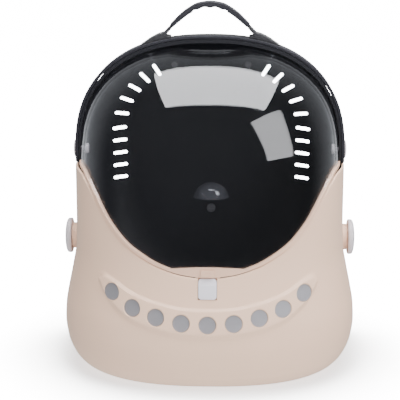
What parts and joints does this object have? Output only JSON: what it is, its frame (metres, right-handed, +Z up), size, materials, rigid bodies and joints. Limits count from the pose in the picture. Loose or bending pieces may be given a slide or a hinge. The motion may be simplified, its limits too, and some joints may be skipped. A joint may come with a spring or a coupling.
{
  "type": "bubble pet carrier backpack",
  "caption": "Hard-shell backpack for carrying a small pet, with a clear bubble that opens like a visor, air slots, mesh vents, a carry handle and two shoulder straps.",
  "frame": {"origin": "on the floor under the flat base, straight below the bubble's hinge line, midway between the sides", "axes": "+Z up, -Y out of the front, where the bubble and its latch are, +X to the side"},
  "size_m": [0.3472, 0.3069, 0.427],
  "materials": {
    "cream_shell": "satin moulded plastic",
    "black_shell": "satin moulded plastic",
    "hoop_rubber": "matt",
    "clear_bubble": "clear, faintly smoky",
    "clear_hood": "clear",
    "grey_plastic": "satin",
    "dark_screw": "satin",
    "grip_rubber": "matt",
    "vent_mesh": "fine woven mesh",
    "back_cloth": "padded air mesh",
    "strap_cloth": "padded cloth",
    "webbing": "woven tape",
    "black_plastic": "satin"
  },
  "bodies": {
    "carrier": {"air_hood": "clear_hood", "back_pad": "back_cloth", "back_shell": "black_shell", "base_shell": "cream_shell", "handle_grip": "grip_rubber", "handle_tab_left": "webbing", "handle_tab_right": "webbing", "hood_screw": "dark_screw", "knob_cap_left": "grey_plastic", "knob_cap_right": "grey_plastic", "low_anchor_left": "webbing", "low_anchor_right": "webbing", "pivot_rivet_left": "grey_plastic", "pivot_rivet_right": "grey_plastic", "rim_hoop": "hoop_rubber", "shoulder_pad_left": "strap_cloth", "shoulder_pad_right": "strap_cloth", "strap_slide_left": "black_plastic", "strap_slide_right": "black_plastic", "strap_web_left": "webbing", "strap_web_right": "webbing", "top_anchor": "webbing", "vent_mesh_1": "vent_mesh", "vent_mesh_2": "vent_mesh", "vent_mesh_3": "vent_mesh", "vent_mesh_4": "vent_mesh", "vent_mesh_5": "vent_mesh", "vent_mesh_6": "vent_mesh", "vent_mesh_7": "vent_mesh", "vent_mesh_8": "vent_mesh", "vent_mesh_9": "vent_mesh", "wall_screw_left": "dark_screw", "wall_screw_right": "dark_screw"},
    "visor": {"dome": "clear_bubble", "dome_trim": "cream_shell", "keeper_tab": "cream_shell"},
    "latch": {"latch_button": "grey_plastic"}
  },
  "joints": [
    {"name": "dome_hinge", "type": "hinge", "parent": "carrier", "child": "visor", "pos_m": [0, 0, 0.254], "axis": [-1, 0, 0], "range_deg": [0, 44]},
    {"name": "latch_press", "type": "slide", "parent": "carrier", "child": "latch", "axis": [0, 1, 0], "range_m": [0, 0.003], "stiffness_N_per_m": 600}
  ]
}
